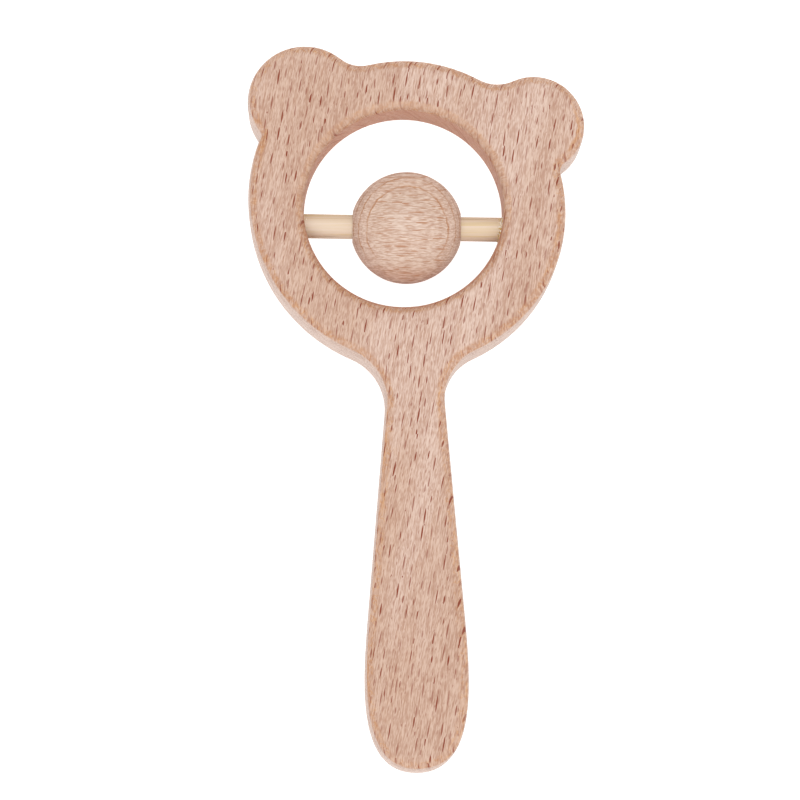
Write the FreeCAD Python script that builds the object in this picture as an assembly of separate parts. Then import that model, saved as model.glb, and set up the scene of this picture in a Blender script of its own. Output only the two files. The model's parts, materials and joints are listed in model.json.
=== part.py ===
import FreeCAD, Part
import math
import os
from collections import namedtuple

# A bear-head baby rattle lying on its back: X runs along the dowel, +Y points from the
# handle to the head, +Z is up. The plan is drawn from the middle of the round window, then
# everything is moved so that the origin is under the middle of the whole rattle.

Vector = FreeCAD.Vector
Disc = namedtuple("Disc", "x y r")

# Beech board
THICKNESS = 12.0
EDGE_ROUND = 2.6          # rounding of the outer edges, both faces
WINDOW_R = 19.9
WINDOW_ROUND = 2.2        # rounding of the window's edges, both faces

# Head: three shallow arcs, whose joins lie under the ears and the neck, and two ears
CROWN = Disc(0.2, -1.2, 31.35)
RIGHT_CHEEK = Disc(0.7, -0.5, 31.6)
LEFT_CHEEK = Disc(3.1, 1.95, 34.0)
RIGHT_EAR = Disc(26.15, 16.8, 10.1)
LEFT_EAR = Disc(-19.6, 21.7, 11.45)
RIGHT_DIP = 7.5           # soft dips between each ear and the crown
LEFT_DIP = 6.3
NOTCH = 1.4               # tight notch below each ear, on the outside
RIGHT_NECK = 9.9          # fillets from the head into the handle
LEFT_NECK = 11.1

# Handle: straight sides that widen slowly, then one smooth curve round the end
HANDLE_X = 2.1            # the handle's middle line, right of the window's middle
NECK_Y = -44.0            # where the sides are straight just below the neck
NECK_HALF = 6.3
SIDE_SLOPE = 0.086        # half-width gained per length
SWELL_Y = -80.9           # where the straight sides end
SWELL_PULL = 13.2         # control lengths of the end curve, along the side and across the tip
TIP_PULL = 11.9
TIP_Y = -111.35

# Dowel: bamboo, slightly off square, glued in a blind hole on the left and trimmed flush on
# the right
DOWEL_R = 2.45
DOWEL_DROP = 3.15         # its axis passes this far under the window's middle
DOWEL_TURN = -1.2         # degrees about Z
BLIND_DEPTH = 8.0         # of the left hole, from the window's edge
GLUE = 0.1                # bond line between the dowel and its holes

# Bead: turned beech ball
BEAD_R = 11.2
BEAD_HALF = 10.75         # half of its length between the flats at the bore's mouths
BEAD_X = 0.64             # its resting place along the dowel
RUNNING = 0.05            # radial clearance of each running fit
BORE_WALL = 0.4           # thickness of the bead's innermost layer, round the bore
BORE_RECESS = 0.45        # that layer stops this far inside the flats

NEARLY = 0.01             # lengths that differ by less are taken as equal


def unit(v):
    return v / v.Length


def centre_of(disc):
    return Vector(disc.x, disc.y, 0)


def blend_between(first, second, radius, toward):
    """Centre of the fillet that touches two discs from outside, on the side nearer toward."""
    a, b = centre_of(first), centre_of(second)
    ra, rb = first.r + radius, second.r + radius
    gap = (b - a).Length
    along = (ra ** 2 - rb ** 2 + gap ** 2) / (2 * gap)
    across = math.sqrt(ra ** 2 - along ** 2)
    ahead = unit(b - a)
    aside = Vector(-ahead.y, ahead.x, 0)
    choices = [a + ahead * along + aside * side * across for side in (1, -1)]
    return min(choices, key=lambda c: (c - toward).Length)


def blend_to_side(disc, radius, point, direction, outward):
    """Centre of the fillet between a disc and a straight side, on the side's outward side."""
    start = point + outward * radius - centre_of(disc)
    ahead = start.dot(direction)
    rest = start.dot(start) - (disc.r + radius) ** 2
    return centre_of(disc) + start - direction * (math.sqrt(ahead ** 2 - rest) + ahead)


def touch(disc, centre):
    """Where a fillet with this centre touches the disc."""
    return centre_of(disc) + unit(centre - centre_of(disc)) * disc.r


def arc(centre, start, end):
    """The shorter arc about centre from start to end."""
    radius = (start - centre).Length
    middle = centre + unit((start - centre) + (end - centre)) * radius
    return Part.Arc(start, middle, end).toShape()


def handle_side(side, cheek, neck_radius):
    """One side of the handle, side 1 for right and -1 for left: the fillet's centre, its
    touching point on the cheek, and the edges from there to the tip."""
    downward = unit(Vector(side * SIDE_SLOPE, -1, 0))
    outward = Vector(-side * downward.y, side * downward.x, 0)
    waist = Vector(HANDLE_X + side * NECK_HALF, NECK_Y, 0)
    swell_half = NECK_HALF + SIDE_SLOPE * (NECK_Y - SWELL_Y)
    swell = Vector(HANDLE_X + side * swell_half, SWELL_Y, 0)
    tip = Vector(HANDLE_X, TIP_Y, 0)
    neck = blend_to_side(cheek, neck_radius, waist, -downward, outward)
    top = touch(cheek, neck)
    foot = neck - outward * neck_radius
    end = Part.BezierCurve()
    end.setPoles([swell, swell + downward * SWELL_PULL, tip + Vector(side * TIP_PULL, 0, 0), tip])
    return top, [arc(neck, top, foot), Part.makeLine(foot, swell), end.toShape()]


def outline():
    """The rattle's plan, from the left cheek over the crown to the right cheek and the handle."""
    sky = Vector(0, WINDOW_R * 2, 0)
    left_dip = blend_between(LEFT_EAR, CROWN, LEFT_DIP, sky)
    right_dip = blend_between(RIGHT_EAR, CROWN, RIGHT_DIP, sky)
    left_notch = blend_between(LEFT_CHEEK, LEFT_EAR, NOTCH, Vector(-LEFT_CHEEK.r, 0, 0))
    right_notch = blend_between(RIGHT_CHEEK, RIGHT_EAR, NOTCH, Vector(RIGHT_CHEEK.r, 0, 0))
    left_top, left_edges = handle_side(-1, LEFT_CHEEK, LEFT_NECK)
    right_top, right_edges = handle_side(1, RIGHT_CHEEK, RIGHT_NECK)

    edges = [arc(centre_of(LEFT_CHEEK), left_top, touch(LEFT_CHEEK, left_notch))]
    edges += [arc(left_notch, touch(LEFT_CHEEK, left_notch), touch(LEFT_EAR, left_notch))]
    edges += [arc(centre_of(LEFT_EAR), touch(LEFT_EAR, left_notch), touch(LEFT_EAR, left_dip))]
    edges += [arc(left_dip, touch(LEFT_EAR, left_dip), touch(CROWN, left_dip))]
    edges += [arc(centre_of(CROWN), touch(CROWN, left_dip), touch(CROWN, right_dip))]
    edges += [arc(right_dip, touch(CROWN, right_dip), touch(RIGHT_EAR, right_dip))]
    edges += [arc(centre_of(RIGHT_EAR), touch(RIGHT_EAR, right_dip), touch(RIGHT_EAR, right_notch))]
    edges += [arc(right_notch, touch(RIGHT_EAR, right_notch), touch(RIGHT_CHEEK, right_notch))]
    edges += [arc(centre_of(RIGHT_CHEEK), touch(RIGHT_CHEEK, right_notch), right_top)]
    edges += right_edges + left_edges
    return Part.Wire(Part.__sortEdges__(edges))


def rounded(solid, radius, on_rim):
    """The solid with its face-side edges rounded, for the edges that on_rim picks."""
    rims = [e for e in solid.Edges if e.BoundBox.ZLength < NEARLY and on_rim(e)]
    return solid.makeFillet(radius, rims)


def is_window_edge(edge):
    return isinstance(edge.Curve, Part.Circle) and abs(edge.Curve.Radius - WINDOW_R) < NEARLY


def rod(radius, start, end):
    """A cylinder on the dowel's axis, between two distances from the window's middle line."""
    solid = Part.makeCylinder(radius, end - start, Vector(start, 0, 0), Vector(1, 0, 0))
    solid.rotate(Vector(0, 0, 0), Vector(0, 0, 1), DOWEL_TURN)
    solid.translate(Vector(0, -DOWEL_DROP, 0))
    return solid


def bead():
    ball = Part.makeSphere(BEAD_R)
    slab = Part.makeBox(2 * BEAD_HALF, 2 * BEAD_R, 2 * BEAD_R, Vector(-BEAD_HALF, -BEAD_R, -BEAD_R))
    solid = ball.common(slab)
    solid.rotate(Vector(0, 0, 0), Vector(0, 0, 1), DOWEL_TURN)
    turn = math.radians(DOWEL_TURN)
    solid.translate(Vector(BEAD_X * math.cos(turn), BEAD_X * math.sin(turn) - DOWEL_DROP, 0))
    bore_r = DOWEL_R + RUNNING + BORE_WALL + RUNNING
    return solid.cut(rod(bore_r, BEAD_X - BEAD_R, BEAD_X + BEAD_R))


def bead_bore_wall():
    half = BEAD_HALF - BORE_RECESS
    inner_r = DOWEL_R + RUNNING
    outside = rod(inner_r + BORE_WALL, BEAD_X - half, BEAD_X + half)
    return outside.cut(rod(inner_r, BEAD_X - half, BEAD_X + half))


def board():
    """The whole board without its window, edges rounded."""
    slab = Part.Face(outline()).extrude(Vector(0, 0, THICKNESS))
    slab.translate(Vector(0, 0, -THICKNESS / 2))
    return rounded(slab, EDGE_ROUND, lambda edge: True)


def wooden_pieces():
    """The frame, the dowel and the two glue films, which fit each other without a gap."""
    solid_board = board()
    cutter = Part.makeCylinder(WINDOW_R, THICKNESS, Vector(0, 0, -THICKNESS / 2))
    ring = rounded(solid_board.cut(cutter), WINDOW_ROUND, is_window_edge)
    window_edge = math.sqrt(WINDOW_R ** 2 - DOWEL_DROP ** 2)
    past_ring = RIGHT_CHEEK.x + RIGHT_CHEEK.r + 2 * EDGE_ROUND
    blind_end = -window_edge - BLIND_DEPTH
    left_hole = rod(DOWEL_R + GLUE, blind_end, 0).common(ring)
    right_hole = rod(DOWEL_R + GLUE, 0, past_ring).common(ring)
    dowel = rod(DOWEL_R, blind_end + GLUE, past_ring).common(solid_board)
    return {
        "bear_frame": ring.cut(left_hole).cut(right_hole),
        "bead_dowel": dowel,
        "glue_film_left": left_hole.cut(dowel),
        "glue_film_right": right_hole.cut(dowel),
    }


pieces = wooden_pieces()
pieces["bead"] = bead()
pieces["bead_bore_wall"] = bead_bore_wall()

# The ears are the widest places, the left ear and the tip the longest, and the bead the
# thickest.
middle_x = (RIGHT_EAR.x + RIGHT_EAR.r + LEFT_EAR.x - LEFT_EAR.r) / 2
middle_y = (LEFT_EAR.y + LEFT_EAR.r + TIP_Y) / 2
to_origin = Vector(-middle_x, -middle_y, BEAD_R)

os.makedirs("parts", exist_ok=True)
for name, shape in pieces.items():
    shape.translate(to_origin)
    solids = shape.Solids
    box = shape.BoundBox
    print(name, "solids", len(solids), "valid", shape.isValid(), "volume", round(shape.Volume, 2),
          "x", round(box.XMin, 2), round(box.XMax, 2), "y", round(box.YMin, 2), round(box.YMax, 2),
          "z", round(box.ZMin, 2), round(box.ZMax, 2))
    single = solids[0] if len(solids) == 1 else Part.makeCompound(solids)
    single.exportStep(os.path.join("parts", name + ".step"))

turn = math.radians(DOWEL_TURN)
bead_middle = Vector(BEAD_X * math.cos(turn), BEAD_X * math.sin(turn) - DOWEL_DROP, 0) + to_origin
print("origin is at", tuple(round(c, 3) for c in -to_origin), "from the window's middle")
print("bead middle", tuple(round(c, 3) for c in bead_middle))
print("dowel direction", (round(math.cos(turn), 6), round(math.sin(turn), 6), 0))
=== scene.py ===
import json
import math
import random
from collections import namedtuple

import bmesh
import bpy
from mathutils import Matrix, Vector, noise
from mathutils.bvhtree import BVHTree


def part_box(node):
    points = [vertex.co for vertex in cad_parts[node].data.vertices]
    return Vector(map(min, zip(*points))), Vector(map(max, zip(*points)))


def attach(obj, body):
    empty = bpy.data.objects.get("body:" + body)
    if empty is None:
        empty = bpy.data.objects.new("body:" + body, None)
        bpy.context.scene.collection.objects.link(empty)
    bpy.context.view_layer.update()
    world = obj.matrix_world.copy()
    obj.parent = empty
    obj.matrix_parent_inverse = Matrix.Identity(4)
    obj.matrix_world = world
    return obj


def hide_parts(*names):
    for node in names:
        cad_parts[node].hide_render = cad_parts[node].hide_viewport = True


# A beech baby rattle: a bear-shaped ring with a handle, and one bead on a bamboo dowel. Lengths
# below are in millimetres and become metres where they are used, but places are in metres.
MM = 0.001

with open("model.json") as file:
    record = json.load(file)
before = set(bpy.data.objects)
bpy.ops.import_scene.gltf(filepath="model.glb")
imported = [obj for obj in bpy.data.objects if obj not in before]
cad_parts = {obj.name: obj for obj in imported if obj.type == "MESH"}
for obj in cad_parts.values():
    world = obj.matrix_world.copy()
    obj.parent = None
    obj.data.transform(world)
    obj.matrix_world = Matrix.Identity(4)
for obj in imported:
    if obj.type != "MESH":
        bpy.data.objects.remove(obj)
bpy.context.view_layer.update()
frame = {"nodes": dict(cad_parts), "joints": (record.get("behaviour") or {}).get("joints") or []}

# Where things are, from the frame
SLIDE = next(joint for joint in frame["joints"] if joint["name"] == "bead_slide")
bead_low, bead_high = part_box("bead")
dowel_low, dowel_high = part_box("bead_dowel")
board_low, board_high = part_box("bear_frame")
BEAD_MIDDLE = (bead_low + bead_high) / 2
BEAD_R = (bead_high.z - bead_low.z) / 2 / MM
BEAD_HALF = (bead_high.x - bead_low.x) / 2 / MM      # half its length along the dowel
DOWEL_R = (dowel_high.z - dowel_low.z) / 2 / MM
DOWEL_AXIS = Vector(SLIDE["axis"]).normalized()
WINDOW = Vector((-2.6 * MM, 39.1 * MM, (board_low.z + board_high.z) / 2))

# Distances from the window's middle over which its wall gives way to the outside, and over which
# the cutter's teeth die out past the head
WALL_ENDS = (23.0, 25.0)
HEAD_ENDS = (36.0, 38.0)

# Further than any wood here goes
BEYOND = 1000.0


# ---------------------------------------------------------------------------------- node helpers

def rgb(red, green, blue):
    return (red, green, blue, 1.0)


class Nodes:
    """A material's node tree, with short calls for what the woods are made of."""

    def __init__(self, name):
        self.material = bpy.data.materials.new(name)
        self.material.use_nodes = True
        self.tree = self.material.node_tree
        self.tree.nodes.clear()
        self.output = self.add("ShaderNodeOutputMaterial")
        self.shader = self.add("ShaderNodeBsdfPrincipled")
        self.link(self.shader.outputs[0], self.output.inputs[0])
        self.place = self.add("ShaderNodeTexCoord").outputs["Object"]

    def add(self, kind, **settings):
        node = self.tree.nodes.new(kind)
        for key, value in settings.items():
            setattr(node, key, value)
        return node

    def link(self, source, target):
        self.tree.links.new(source, target)

    def feed(self, socket, value):
        """Sets a socket to a number, a vector or another node's output."""
        if isinstance(value, bpy.types.NodeSocket):
            self.link(value, socket)
        else:
            socket.default_value = value

    def math(self, operation, *values, clamp=False):
        node = self.add("ShaderNodeMath", operation=operation, use_clamp=clamp)
        for socket, value in zip(node.inputs, values):
            self.feed(socket, value)
        return node.outputs[0]

    def times(self, first, *others):
        for other in others:
            first = self.math("MULTIPLY", first, other)
        return first

    def plus(self, first, *others):
        for other in others:
            first = self.math("ADD", first, other)
        return first

    def less(self, first, second):
        return self.math("SUBTRACT", first, second)

    def amount(self, value):
        """The value without its sign."""
        return self.math("ABSOLUTE", value)

    def vector(self, operation, *values):
        node = self.add("ShaderNodeVectorMath", operation=operation)
        for socket, value in zip(node.inputs, values):
            self.feed(socket, value)
        return node.outputs["Value" if operation in ("DOT_PRODUCT", "LENGTH") else "Vector"]

    def ramp(self, value, low, high, start=0.0, end=1.0):
        """A smooth step from start to end as value goes from low to high."""
        node = self.add("ShaderNodeMapRange", interpolation_type="SMOOTHSTEP")
        for socket, number in zip(node.inputs, (value, low, high, start, end)):
            self.feed(socket, number)
        return node.outputs[0]

    def fall(self, value, low, high, start=1.0, end=0.0):
        """A smooth step down, from start to end."""
        return self.ramp(value, low, high, start, end)

    def noise(self, at, detail=2.0, scale=1.0):
        """Perlin noise, its mean near 0.5."""
        node = self.add("ShaderNodeTexNoise")
        node.inputs["Scale"].default_value = scale
        node.inputs["Detail"].default_value = detail
        self.link(at, node.inputs["Vector"])
        return node.outputs[0]

    def grain(self, at, fineness, detail=1.0):
        """Noise that is finer along the axes where fineness is greater."""
        return self.noise(self.vector("MULTIPLY", at, fineness), detail)

    def mix(self, share, first, second, blend="MIX"):
        node = self.add("ShaderNodeMix", data_type="RGBA", blend_type=blend)
        node.clamp_factor = True
        self.feed(node.inputs[0], share)
        self.feed(node.inputs[6], first)
        self.feed(node.inputs[7], second)
        return node.outputs[2]

    def tint(self, colour, tint):
        return self.mix(1.0, colour, tint, blend="MULTIPLY")

    def split(self, vector):
        node = self.add("ShaderNodeSeparateXYZ")
        self.link(vector, node.inputs[0])
        return node.outputs

    def join(self, x, y, z):
        node = self.add("ShaderNodeCombineXYZ")
        for socket, value in zip(node.inputs, (x, y, z)):
            self.feed(socket, value)
        return node.outputs[0]

    def bump(self, height, depth, strength):
        """Gives the shader a bump of height 0 to 1, which is depth millimetres deep."""
        node = self.add("ShaderNodeBump")
        node.inputs["Strength"].default_value = strength
        node.inputs["Distance"].default_value = depth * MM
        self.link(height, node.inputs["Height"])
        self.link(node.outputs[0], self.shader.inputs["Normal"])


# ----------------------------------------------------------------------------------------- woods

# A log's year rings: how far its heart lies inward and how much a year adds, the years counted at
# the heart, the share of a year that is late wood, how strongly rings show on the faces and in
# their weakest patches, how far they wave and jitter, in years, the last year, which is a wide
# one, and the distances across the rays over which their lines run out
Rings = namedtuple("Rings", "heart step start late on_faces weakest wave jitter last run_out")

# Flecks seen along the rays: the cell that holds one, its half width and half length, a seed for
# where they lie, and how dark the least of them is
Flecks = namedtuple("Flecks", "cell half_width half_length seed least")
STRONG_RAYS = Flecks(cell=(2.35, 3.9, 26.0), half_width=0.13, half_length=1.5, seed=3.1, least=0.55)
FAINT_RAYS = Flecks(cell=(0.78, 1.55, 14.0), half_width=0.085, half_length=0.62, seed=7.7, least=0.0)
FAINT_SHARE = 0.45
VESSELS = Flecks(cell=(0.8, 3.4, 9.0), half_width=0.1, half_length=1.3, seed=5.3, least=0.25)

# Colours of the warmer and the pinker wood, late wood, flecks and edges
Tones = namedtuple("Tones", "warm pink late fleck edge")

# The darkest and palest fibres, as tints of beech's colour
DARK_FIBRE = rgb(0.81, 0.715, 0.67)
PALE_FIBRE = rgb(1.135, 1.215, 1.255)


def log_place(nodes, across, along, outward, middle):
    """Where a point was in the log, in millimetres: across the rays, along the grain and out from
    the log's heart."""
    local = nodes.vector("SUBTRACT", nodes.place, tuple(middle))
    axes = [tuple(axis / MM) for axis in (across, along, outward)]
    return nodes.join(*[nodes.vector("DOT_PRODUCT", local, axis) for axis in axes])


def spindles(nodes, place, flecks):
    """Flecks, one in each cell, which reach far outward. Returns how dark each is, from
    flecks.least to 1, and 0 between them."""
    seed = (flecks.seed, flecks.seed * 1.7, flecks.seed * 0.3)
    at = nodes.vector("ADD", nodes.vector("DIVIDE", place, flecks.cell), seed)
    cells = nodes.add("ShaderNodeTexVoronoi", feature="F1", voronoi_dimensions="3D")
    cells.inputs["Scale"].default_value = 1.0
    nodes.link(at, cells.inputs["Vector"])
    offset = nodes.vector("SUBTRACT", at, cells.outputs["Position"])
    dx, dy, _ = nodes.split(nodes.vector("MULTIPLY", offset, flecks.cell))
    draw = nodes.add("ShaderNodeSeparateColor")
    nodes.link(cells.outputs["Color"], draw.inputs[0])
    long, wide = flecks.half_length, flecks.half_width
    length = nodes.ramp(draw.outputs[0], 0.0, 1.0, long * 0.5, long * 1.25)
    girth = nodes.ramp(draw.outputs[2], 0.0, 1.0, wide * 0.75, wide * 1.2)
    y = nodes.math("DIVIDE", dy, length)
    taper = nodes.math("SUBTRACT", 1.0, nodes.times(y, y), clamp=True)
    width = nodes.plus(nodes.times(taper, girth), 0.001)
    x = nodes.math("DIVIDE", nodes.amount(dx), width)
    body = nodes.fall(x, 0.75, 1.15)
    ends = nodes.ramp(taper, 0.0, 0.25)
    dark = nodes.ramp(draw.outputs[1], 0.0, 1.0, flecks.least, 1.0)
    return nodes.times(body, ends, dark)


def wandered(nodes, place):
    """The place in a log whose grain wanders a little."""
    wander = nodes.add("ShaderNodeTexNoise")
    wander.inputs["Scale"].default_value = 1.0
    wander.inputs["Detail"].default_value = 1.0
    nodes.link(nodes.vector("MULTIPLY", place, (0.11, 0.045, 0.08)), wander.inputs["Vector"])
    shift = nodes.vector("SUBTRACT", wander.outputs["Color"], (0.5, 0.5, 0.5))
    return nodes.vector("ADD", place, nodes.vector("MULTIPLY", shift, (1.1, 0.0, 1.4)))


def late_wood_of(nodes, place, jitter, rings):
    """How much of a ring's late wood shows, from 0 to 1: rings about the heart, with a wavy edge
    and weak patches."""
    t, _, r = nodes.split(place)
    reach = nodes.plus(r, rings.heart)
    radius = nodes.math("POWER", nodes.plus(nodes.times(reach, reach), nodes.times(t, t)), 0.5)
    wave = nodes.grain(place, (0.1, 0.016, 0.06))
    years = nodes.plus(nodes.math("DIVIDE", radius, rings.step), rings.start,
                       nodes.times(wave, rings.wave), nodes.times(jitter, rings.jitter))
    season = nodes.math("FRACT", nodes.math("MINIMUM", years, rings.last))
    begins = nodes.ramp(season, 1.0 - rings.late, 1.0 - rings.late * 0.3)
    ends = nodes.fall(season, 1.0 - rings.late * 0.2, 1.0)
    patches = nodes.ramp(nodes.grain(place, (0.35, 0.2, 0.35)), 0.38, 0.6, rings.weakest, 1.0)
    return nodes.times(begins, ends, patches, nodes.fall(t, *rings.run_out))


def beech(name, across, along, outward, middle, rings, edge_share, fleck_end, tones):
    """Sanded, unfinished beech cut from a log. edge_share is how much the edges differ, and the
    flecks weaken at the distances fleck_end along the grain. Returns the nodes, the way the
    surface faces, the place in the log, and the colour and height."""
    nodes = Nodes(name)
    place = wandered(nodes, log_place(nodes, across, along, outward, middle))
    t, g, _ = nodes.split(place)

    # Fibres along the grain, and fine rays, which show as short strokes and run outward at edges
    fibres = nodes.plus(nodes.times(nodes.grain(place, (5.5, 0.3, 1.6)), 0.5),
                        nodes.times(nodes.grain(place, (4.6, 0.9, 0.12)), 0.38),
                        nodes.times(nodes.grain(place, (0.6, 0.03, 0.3)), 0.12))

    strong = spindles(nodes, place, STRONG_RAYS)
    faint = spindles(nodes, place, FAINT_RAYS)
    flecks = nodes.math("MAXIMUM", strong, nodes.times(faint, FAINT_SHARE))
    flecks = nodes.times(flecks, nodes.fall(nodes.amount(g), *fleck_end, end=0.25))

    # Where the surface turns away from the faces the edge tone comes in: the warmer end grain, and
    # partly painted shade of the rounding as it turns from the light; the rings show there too
    normal = nodes.add("ShaderNodeNewGeometry").outputs["Normal"]
    turned = nodes.add("ShaderNodeVectorTransform", vector_type="NORMAL",
                       convert_from="WORLD", convert_to="OBJECT")
    nodes.link(normal, turned.inputs[0])
    facing = turned.outputs[0]
    upright = nodes.amount(nodes.split(facing)[2])
    jitter = nodes.grain(place, (1.1, 0.8, 0.5), detail=2.0)
    # edge mixes the end grain's warmer tone with painted shade on the roundings
    edge = nodes.times(nodes.fall(nodes.plus(upright, nodes.times(jitter, 0.08)), 0.93, 1.035),
                       edge_share)

    # The colour drifts over the wood at random, and squiggly lines show where an edge cuts thin
    # layers
    slow = nodes.grain(place, (0.085, 0.016, 0.05))
    # Painted light: the steps in t and g make the wood paler across and along the grain, on the
    # board towards the right and the head, where the key light is stronger
    drift_and_lit_gradient = nodes.plus(slow, nodes.times(t, 0.0022), nodes.times(g, 0.002))
    colour = nodes.mix(nodes.ramp(drift_and_lit_gradient, 0.36, 0.6), tones.warm, tones.pink)
    colour = nodes.mix(edge, colour, tones.edge)
    late_wood = late_wood_of(nodes, place, jitter, rings)
    ring_share = nodes.plus(rings.on_faces, edge)
    colour = nodes.mix(nodes.times(late_wood, ring_share), colour, tones.late)
    layers = nodes.grain(place, (0.75, 0.5, 0.9), detail=2.0)
    squiggle = nodes.fall(nodes.amount(nodes.less(layers, 0.5)), 0.012, 0.04)
    colour = nodes.mix(nodes.times(squiggle, edge), colour, tones.late)

    colour = nodes.tint(colour, nodes.mix(nodes.ramp(fibres, 0.37, 0.63), DARK_FIBRE, PALE_FIBRE))
    colour = nodes.mix(flecks, colour, tones.fleck)
    height = nodes.less(fibres, nodes.times(flecks, 0.35))
    return nodes, facing, place, colour, height


def finish_wood(nodes, colour, height):
    nodes.link(colour, nodes.shader.inputs["Base Color"])
    nodes.link(nodes.fall(height, 0.2, 0.7, 0.72, 0.58), nodes.shader.inputs["Roughness"])
    nodes.shader.inputs["Specular IOR Level"].default_value = 0.35
    nodes.bump(height, 0.05, 0.5)
    return nodes.material


def cutter_teeth_and_lit_rim(nodes, colour, upright, plan, y, inside):
    """Painted light makes the window's rounding paler towards the head, and the cutter's short dark
    teeth cross the rounding of the head's edges."""
    flat = nodes.vector("LENGTH", plan)
    spoke = nodes.vector("MULTIPLY", nodes.vector("NORMALIZE", plan), (30.0, 30.0, 0.0))
    slant = nodes.join(0.0, 0.0, nodes.times(flat, 0.4))
    comb = nodes.noise(nodes.vector("ADD", spoke, slant), detail=1.0, scale=1.5)
    rim = nodes.times(nodes.ramp(upright, 0.35, 0.7), nodes.fall(upright, 0.9, 0.985))
    teeth = nodes.times(rim, nodes.ramp(comb, 0.5, 0.62), nodes.fall(flat, *HEAD_ENDS, start=0.4))
    # Painted light: the window's rounding is made paler towards the head
    painted_light_on_rim = nodes.times(rim, inside, nodes.ramp(y, -8.0, 8.0, 0.0, 0.45))
    colour = nodes.mix(painted_light_on_rim, colour, rgb(0.58, 0.40, 0.30))
    return nodes.mix(teeth, colour, rgb(0.36, 0.16, 0.08))


def paint_lit_sides(nodes, colour, upright, facing, from_middle, outside):
    """The outer sides are painted paler, a painted sheen of the light on the walls, and the pale
    band reaches further round onto the rounding where it faces the lower left, towards the light.
    """
    lower_left = nodes.vector("DOT_PRODUCT", facing, (-0.5, -0.87, 0.0))
    further = nodes.ramp(lower_left, -0.1, 0.7, 0.0, 0.28)
    # side is the share of painted light: the pale sheen on the outer walls
    side = nodes.times(nodes.fall(nodes.less(upright, further), 0.28, 0.42), outside, 0.8)
    belt = nodes.times(nodes.grain(from_middle, (0.35, 0.35, 2.6), detail=3.0), 0.5)
    grit = nodes.times(nodes.noise(from_middle, detail=1.0, scale=3.5), 0.5)
    # sanded holds the pale colour of the painted lit sides, mottled by the belt and grit noise
    sanded = nodes.mix(nodes.ramp(nodes.plus(belt, grit), 0.4, 0.6),
                       rgb(0.44, 0.335, 0.29), rgb(0.585, 0.47, 0.415))
    return nodes.mix(side, colour, sanded)


def board_wood():
    """The board. Its grain leans a little to the right towards the head."""
    lean = math.radians(10.0)
    along = Vector((math.sin(lean), math.cos(lean), 0.0))
    outward = Vector((-0.45, 0.0, 1.0))
    outward = (outward - along * outward.dot(along)).normalized()
    tones = Tones(warm=rgb(0.482, 0.314, 0.234), pink=rgb(0.535, 0.373, 0.298),
                  late=rgb(0.46, 0.225, 0.10), fleck=rgb(0.20, 0.033, 0.01),
                  edge=rgb(0.475, 0.292, 0.202))
    rings = Rings(heart=55.0, step=1.5, start=0.0, late=0.35, on_faces=0.08, weakest=0.2, wave=1.2,
                  jitter=0.8, last=BEYOND, run_out=(BEYOND, BEYOND + 1.0))
    nodes, facing, _, colour, height = beech(
        "beech_board", along.cross(outward), along, outward, WINDOW, rings, edge_share=0.6,
        fleck_end=(BEYOND, BEYOND + 1.0), tones=tones)
    upright = nodes.amount(nodes.split(facing)[2])
    from_middle = nodes.vector("SUBTRACT", nodes.place, tuple(WINDOW))
    from_middle = nodes.vector("DIVIDE", from_middle, (MM, MM, MM))
    x, y, _ = nodes.split(from_middle)
    plan = nodes.join(x, y, 0.0)
    outside = nodes.ramp(nodes.vector("LENGTH", plan), *WALL_ENDS)
    inside = nodes.less(1.0, outside)
    colour = cutter_teeth_and_lit_rim(nodes, colour, upright, plan, y, inside)
    colour = paint_lit_sides(nodes, colour, upright, facing, from_middle, outside)

    # Painted shade on the window's wall, which sees little light inside the hole; towards the handle
    # it reaches further up the rounding
    hole_shade_reach = nodes.fall(y, -8.0, 2.0, start=0.42)
    hole_shade = nodes.times(nodes.fall(nodes.less(upright, hole_shade_reach), 0.05, 0.35), inside, 0.5)
    # Painted shade: the window's wall is darkened to a reddish brown
    colour = nodes.mix(hole_shade, colour, rgb(0.42, 0.165, 0.095))
    return finish_wood(nodes, colour, height)


def bead_wood():
    """The bead: rings arch over it, and short dark vessel lines run along its grain."""
    outward = Vector((0.0, -0.2, 1.0)).normalized()
    middle = BEAD_MIDDLE + DOWEL_AXIS * 0.7 * MM
    tones = Tones(warm=rgb(0.583, 0.435, 0.352), pink=rgb(0.604, 0.457, 0.38),
                  late=rgb(0.40, 0.19, 0.09), fleck=rgb(0.42, 0.21, 0.12),
                  edge=rgb(0.56, 0.38, 0.28))
    rings = Rings(heart=60.0, step=2.1, start=0.28, late=0.26, on_faces=0.8, weakest=0.55, wave=0.4,
                  jitter=0.35, last=33.5, run_out=(3.0, 7.5))
    flank = (5.5, 8.0)
    nodes, _, place, colour, height = beech(
        "beech_bead", DOWEL_AXIS.cross(outward), DOWEL_AXIS, outward, middle, rings,
        edge_share=0.15, fleck_end=flank, tones=tones)
    t, g, r = nodes.split(place)
    seen = nodes.fall(nodes.amount(g), *flank, start=0.7, end=0.15)
    vessels = nodes.times(spindles(nodes, place, VESSELS), seen)
    colour = nodes.mix(vessels, colour, rgb(0.38, 0.18, 0.09))

    # The side of the ball towards the handle is darker and redder: painted shade, away from the key
    # light
    plain = rgb(1.0, 1.0, 1.0)
    # Painted shade on the handle side of the ball
    colour = nodes.tint(colour, nodes.mix(nodes.ramp(t, 5.5, 11.5), plain, rgb(0.98, 0.87, 0.80)))
    # The top, inside the last year, is darker: partly the last year's darker wood, partly painted
    # shade that evens out the key light on the top
    last_year_and_top_shade = nodes.mix(nodes.ramp(r, 6.5, 9.5), rgb(1.02, 1.01, 1.01), rgb(0.915, 0.89, 0.87))
    return finish_wood(nodes, nodes.tint(colour, last_year_and_top_shade), height)


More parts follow.
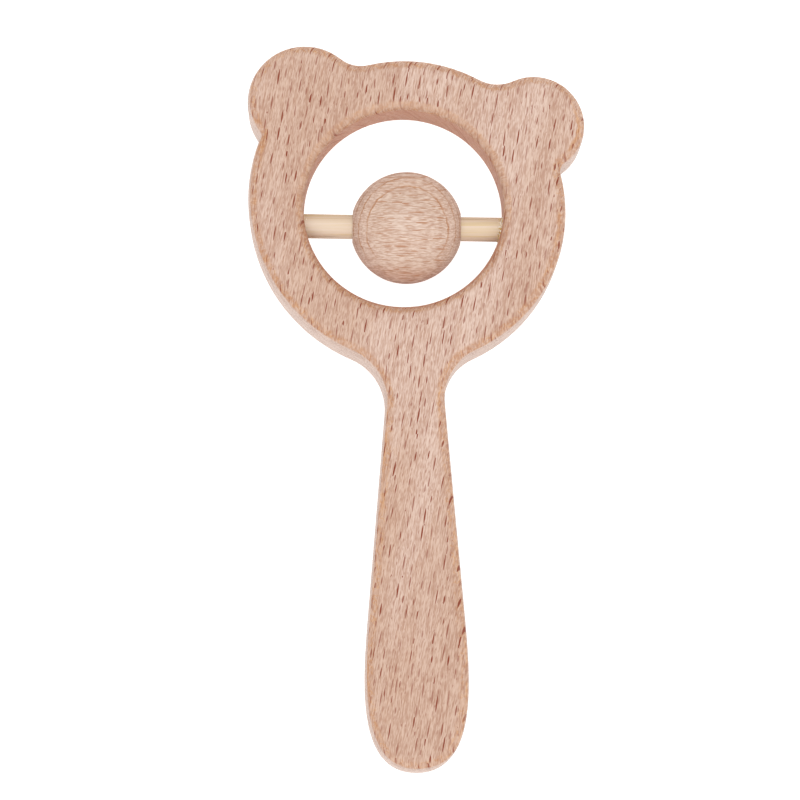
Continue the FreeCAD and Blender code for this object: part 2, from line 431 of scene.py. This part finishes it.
def bamboo():
    """Peeled bamboo: pale straw with fine fibre bundles along the dowel, darker and browner along
    the two sides that face the head and the handle."""
    nodes = Nodes("bamboo")
    side = Vector((0.0, 1.0, 0.0))
    place = log_place(nodes, side, DOWEL_AXIS, DOWEL_AXIS.cross(side), BEAD_MIDDLE)
    bundles = nodes.grain(place, (3.6, 0.03, 3.6), detail=2.0)
    bands = nodes.grain(place, (0.9, 0.015, 0.9))
    colour = nodes.mix(nodes.ramp(bundles, 0.42, 0.62), rgb(0.65, 0.51, 0.385),
                       rgb(0.60, 0.45, 0.25))
    colour = nodes.mix(nodes.ramp(bands, 0.42, 0.66, 0.0, 0.6), colour, rgb(0.67, 0.545, 0.44))

    # The cut ends show the bundles' pores
    across, _, deep = nodes.split(place)
    section = nodes.join(across, 0.0, deep)
    reach = nodes.vector("LENGTH", section)
    pores = nodes.add("ShaderNodeTexVoronoi", feature="F1")
    pores.inputs["Scale"].default_value = 2.6
    nodes.link(section, pores.inputs["Vector"])
    dots = nodes.times(nodes.fall(pores.outputs["Distance"], 0.12, 0.24, start=0.8),
                       nodes.fall(reach, DOWEL_R * 0.93, DOWEL_R * 0.97))
    colour = nodes.mix(dots, colour, rgb(0.30, 0.17, 0.08))

    # Darker and browner along the two sides that face the head and the handle
    dark_sides = nodes.times(nodes.fall(nodes.amount(deep), DOWEL_R * 0.1, DOWEL_R * 0.45, start=0.6),
                       nodes.ramp(reach, DOWEL_R * 0.9, DOWEL_R * 0.95))
    colour = nodes.mix(dark_sides, colour, rgb(0.42, 0.24, 0.11))
    nodes.link(colour, nodes.shader.inputs["Base Color"])
    nodes.shader.inputs["Roughness"].default_value = 0.45
    nodes.bump(bundles, 0.06, 0.7)
    return nodes.material


def glue():
    """Cured wood glue: clear yellowish film."""
    nodes = Nodes("glue")
    clouds = nodes.noise(nodes.vector("DIVIDE", nodes.place, (MM, MM, MM)), detail=1.0, scale=2.4)
    colour = nodes.mix(nodes.ramp(clouds, 0.42, 0.58), rgb(0.90, 0.84, 0.72), rgb(0.60, 0.38, 0.10))
    nodes.link(colour, nodes.shader.inputs["Base Color"])
    nodes.shader.inputs["Roughness"].default_value = 0.3
    nodes.bump(clouds, 0.1, 0.6)
    return nodes.material


# ----------------------------------------------------------------------------- camera and studio

def make_camera():
    """Above the window and tipped towards the head, so that the handle's end is a little nearer."""
    data = bpy.data.cameras.new("camera")
    data.sensor_width = 36.0
    data.lens = 146.25
    camera = bpy.data.objects.new("camera", data)
    bpy.context.scene.collection.objects.link(camera)
    roll = Matrix.Rotation(math.radians(-0.3), 4, "Z")
    lean = Matrix.Rotation(math.radians(-1.043), 4, "Y")
    tip = Matrix.Rotation(math.radians(8.324), 4, "X")
    spot = Matrix.Translation(Vector((-0.636, -37.494, 650.0)) * MM)
    camera.matrix_world = Matrix.Translation(WINDOW) @ roll @ lean @ tip @ spot
    bpy.context.scene.camera = camera


def make_floor():
    """A pale floor that glows a little, as white paper does in a light tent."""
    half = 1500.0 * MM
    mesh = bpy.data.meshes.new("floor")
    corners = [(-half, -half, 0), (half, -half, 0), (half, half, 0), (-half, half, 0)]
    mesh.from_pydata(corners, [], [(0, 1, 2, 3)])
    floor = bpy.data.objects.new("floor", mesh)
    floor.location.z = -0.2 * MM
    bpy.context.scene.collection.objects.link(floor)
    nodes = Nodes("floor_paper")
    mottle = nodes.grain(nodes.place, (40.0, 40.0, 40.0), detail=2.0)
    nodes.link(nodes.mix(mottle, rgb(0.44, 0.44, 0.44), rgb(0.47, 0.47, 0.47)),
               nodes.shader.inputs["Base Color"])
    nodes.shader.inputs["Roughness"].default_value = 0.9
    nodes.shader.inputs["Emission Color"].default_value = rgb(1.0, 1.0, 1.0)
    nodes.shader.inputs["Emission Strength"].default_value = 0.88
    mesh.materials.append(nodes.material)


def area_light(name, spot, width, height, watts):
    """A soft rectangular light at spot, in millimetres from the window's middle, aimed at it."""
    data = bpy.data.lights.new(name, "AREA")
    data.shape = "RECTANGLE"
    data.size = width * MM
    data.size_y = height * MM
    data.energy = watts
    lamp = bpy.data.objects.new(name, data)
    bpy.context.scene.collection.objects.link(lamp)
    offset = Vector(spot) * MM
    lamp.location = WINDOW + offset
    lamp.rotation_mode = "QUATERNION"
    lamp.rotation_quaternion = (-offset).to_track_quat("-Z", "Y")


def light_studio():
    world = bpy.data.worlds.new("studio")
    world.use_nodes = True
    background = world.node_tree.nodes["Background"]
    background.inputs["Color"].default_value = rgb(1.0, 1.0, 1.0)
    background.inputs["Strength"].default_value = 1.08
    bpy.context.scene.world = world
    area_light("key", (110.0, 200.0, 960.0), width=600.0, height=600.0, watts=2.0)
    area_light("fill", (-130.0, -1330.0, 900.0), width=800.0, height=600.0, watts=5.6)
    bpy.context.scene.view_settings.view_transform = "Standard"
    bpy.context.scene.view_settings.look = "None"


# ---------------------------------------------------------------------------------------- pieces

def new_piece(name, vertices, faces, material, body):
    mesh = bpy.data.meshes.new(name)
    mesh.from_pydata(vertices, [], faces)
    mesh.validate()
    for polygon in mesh.polygons:
        polygon.use_smooth = True
    piece = bpy.data.objects.new(name, mesh)
    bpy.context.scene.collection.objects.link(piece)
    mesh.materials.append(material)
    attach(piece, body)
    return piece


def turns(steps):
    """The angles of a full turn in equal steps."""
    return [2 * math.pi * i / steps for i in range(steps)]


def spoke_at(angle):
    """The direction out from the dowel's axis at an angle, 0 up and a quarter turn towards the
    handle."""
    up = Vector((0.0, 0.0, 1.0))
    return up * math.cos(angle) + DOWEL_AXIS.cross(up) * math.sin(angle)


def spot_by_dowel(along, reach, angle):
    """The place that is along the dowel from the bead's middle, and reach out from its axis."""
    return BEAD_MIDDLE + (DOWEL_AXIS * along + spoke_at(angle) * reach) * MM


def wrapped(steps, count):
    """Faces of a closed surface whose vertices are steps loops of count points each."""
    faces = []
    for i in range(steps):
        here, there = i * count, (i + 1) % steps * count
        for j in range(count):
            k = (j + 1) % count
            faces.append((here + j, here + k, there + k, there + j))
    return faces


def surface_of(node):
    """The surface of a CAD node, to find where other pieces meet it."""
    part = frame["nodes"][node]
    points = [part.matrix_world @ vertex.co for vertex in part.data.vertices]
    return BVHTree.FromPolygons(points, [tuple(polygon.vertices) for polygon in part.data.polygons])


def hit_along(surface, start, direction):
    """How far along the dowel, in millimetres from the bead's middle, the first hit lies."""
    spot = surface.ray_cast(start, direction)[0]
    return (spot - BEAD_MIDDLE).dot(DOWEL_AXIS) / MM


def make_dowel(material):
    """The bamboo dowel, planed and sanded: fine ridges of fibre run its whole length, its blind
    end is cut square and the other end is trimmed to the ring's outside."""
    stations = 80
    short = 0.02              # how far its ends stay inside the CAD dowel's
    blind_ease = 0.1
    trimmed_ease = 0.05
    far = 60.0                # past either end
    angles = turns(120)
    surface = surface_of("bead_dowel")
    blind = hit_along(surface, BEAD_MIDDLE - DOWEL_AXIS * far * MM, DOWEL_AXIS) + short

    def trimmed(reach, angle):
        return hit_along(surface, spot_by_dowel(far, reach, angle), -DOWEL_AXIS) - short

    def ridge(along, angle):
        spot = Vector((math.cos(angle) * 5.0, math.sin(angle) * 5.0, along * 0.02))
        return 0.012 + 0.035 * abs(noise.noise(spot)) + 0.012 * abs(noise.noise(spot * 3.0))

    vertices = []
    for share in (0.3, 0.65, 0.95):
        vertices += [spot_by_dowel(blind, DOWEL_R * share, angle) for angle in angles]
    begin = blind + blind_ease
    ends = [trimmed(DOWEL_R * 0.98, angle) - trimmed_ease for angle in angles]
    for j in range(stations + 1):
        for angle, end in zip(angles, ends):
            along = begin + (end - begin) * j / stations
            vertices.append(spot_by_dowel(along, DOWEL_R - ridge(along, angle), angle))
    for share in (0.96, 0.65, 0.3):
        reach = DOWEL_R * share
        vertices += [spot_by_dowel(trimmed(reach, angle), reach, angle) for angle in angles]

    steps = len(angles)
    last = len(vertices) - steps
    blind_middle = len(vertices)
    trimmed_middle = blind_middle + 1
    vertices.append(spot_by_dowel(blind, 0.0, 0.0))
    vertices.append(spot_by_dowel(trimmed(0.0, 0.0), 0.0, 0.0))
    faces = []
    for here in range(0, last, steps):
        for i in range(steps):
            k = (i + 1) % steps
            there = here + steps
            faces.append((here + i, there + i, there + k, here + k))
    for i in range(steps):
        k = (i + 1) % steps
        faces.append((blind_middle, i, k))
        faces.append((trimmed_middle, last + k, last + i))
    dowel = new_piece("dowel_split_bamboo", vertices, faces, material, "frame")
    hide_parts("bead_dowel")


def make_squeeze_out(name, side, size, crumbs, seed, material):
    """Glue that squeezed out of a hole round the dowel, side 1 for the right hole: a thin uneven
    collar, and crumbs of glue and torn fibre stuck in it. It keeps clear of the bead."""
    draw = random.Random(seed)
    surface = surface_of("bear_frame")
    slide_end = SLIDE["range_m"][1] if side > 0 else -SLIDE["range_m"][0]
    bead_reaches = BEAD_HALF + slide_end / MM
    near = 0.16               # how far out from the dowel the ring's wall is looked for
    angles = turns(96)

    def wall(angle, out):
        start = spot_by_dowel(0.0, DOWEL_R + out, angle)
        return side * hit_along(surface, start, DOWEL_AXIS * side)

    def spot_at(angle, along, out):
        return spot_by_dowel(side * along, DOWEL_R + out, angle)

    vertices = []
    for angle in angles:
        around = Vector((math.cos(angle), math.sin(angle), seed))
        swell = 0.55 + 0.9 * abs(noise.noise(around * 2.1)) + 0.6 * abs(noise.noise(around * 6.0))
        out = size * 0.7 * swell
        root, edge = wall(angle, near), wall(angle, near + out)
        tall = min(size * swell, 0.6 * (root - bead_reaches))
        section = [(root - tall, -0.03), (root - tall * 0.8, 0.06),
                   (root - tall * 0.42, 0.35 * out), (root - tall * 0.14, 0.72 * out),
                   (edge + 0.02, out), (edge + 0.12, 0.8 * out), (root + 0.12, -0.06)]
        vertices += [spot_at(angle, along, height) for along, height in section]
    faces = wrapped(len(angles), len(section))
    if side < 0:
        faces = [face[::-1] for face in faces]

    for _ in range(crumbs):
        angle = draw.uniform(-1.1, 1.8)
        room = wall(angle, near) - bead_reaches
        along = wall(angle, near) - draw.uniform(0.1, 0.75) * room
        long, high, wide = (draw.uniform(0.1, 0.34), draw.uniform(0.06, 0.11),
                            draw.uniform(0.08, 0.18))
        ball = bmesh.new()
        bmesh.ops.create_icosphere(ball, subdivisions=2, radius=1.0)
        base = len(vertices)
        twist = draw.uniform(-0.6, 0.6)
        for vertex in ball.verts:
            place = vertex.co * 1.7 + Vector((seed, along, angle))
            lump = vertex.co * (1.0 + 0.35 * noise.noise(place))
            forth = lump.x * math.cos(twist) * long + lump.z * math.sin(twist) * wide
            aside = lump.z * math.cos(twist) * wide - lump.x * math.sin(twist) * long
            vertices.append(spot_at(angle + aside / DOWEL_R, along + forth * 0.5, lump.y * high))
        faces += [tuple(base + vertex.index for vertex in face.verts) for face in ball.faces]
        ball.free()
    new_piece(name, vertices, faces, material, "frame")


def make_bead(material):
    """A turned ball, sanded by hand: a hair off round, with eased mouths at its bore."""
    steps = 144
    arc_steps = 96
    ease_steps = 5
    bore_steps = 24
    bore = DOWEL_R + 0.05
    end = BEAD_HALF - 0.05
    ease_out, ease_along = 0.35, 0.3
    mouth = end - ease_along

    # A closed loop of points along the dowel and out from its axis: the ball, a mouth, the bore
    # and the other mouth
    profile = []
    flat = math.atan2(math.sqrt(BEAD_R ** 2 - end ** 2), end)
    for i in range(arc_steps + 1):
        angle = math.pi - flat - (math.pi - 2 * flat) * i / arc_steps
        profile.append((BEAD_R * math.cos(angle), BEAD_R * math.sin(angle)))
    eases = [math.pi / 2 * i / ease_steps for i in range(ease_steps + 1)]
    for angle in eases:
        profile.append((mouth + ease_along * math.cos(angle),
                        bore + ease_out * (1 - math.sin(angle))))
    for i in range(1, bore_steps):
        profile.append((mouth * (1 - 2 * i / bore_steps), bore))
    for angle in eases[::-1]:
        profile.append((-mouth - ease_along * math.cos(angle),
                        bore + ease_out * (1 - math.sin(angle))))

    def relief(along, radius, angle):
        if radius < bore + 1.0:
            return 0.0
        spot = Vector((along, radius * math.cos(angle), radius * math.sin(angle)))
        return 0.035 * (noise.noise(spot * 0.22) - 0.9) + 0.008 * noise.noise(spot * 1.3)

    vertices = []
    for angle in turns(steps):
        for along, radius in profile:
            vertices.append(spot_by_dowel(along, radius + relief(along, radius, angle), angle))
    faces = wrapped(steps, len(profile))
    bead = new_piece("bead_turned", vertices, faces, material, "bead")
    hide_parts("bead", "bead_bore_wall")


make_camera()
make_floor()
light_studio()

board_material = board_wood()
bamboo_material = bamboo()
glue_material = glue()
for node, material in (("bear_frame", board_material), ("glue_film_left", glue_material),
                       ("glue_film_right", glue_material)):
    for slot in frame["nodes"][node].material_slots:
        slot.material = material
make_bead(bead_wood())
make_dowel(bamboo_material)
make_squeeze_out("glue_collar_left", -1, size=0.07, crumbs=2, seed=3, material=glue_material)
make_squeeze_out("glue_collar_right", 1, size=0.2, crumbs=44, seed=8, material=glue_material)
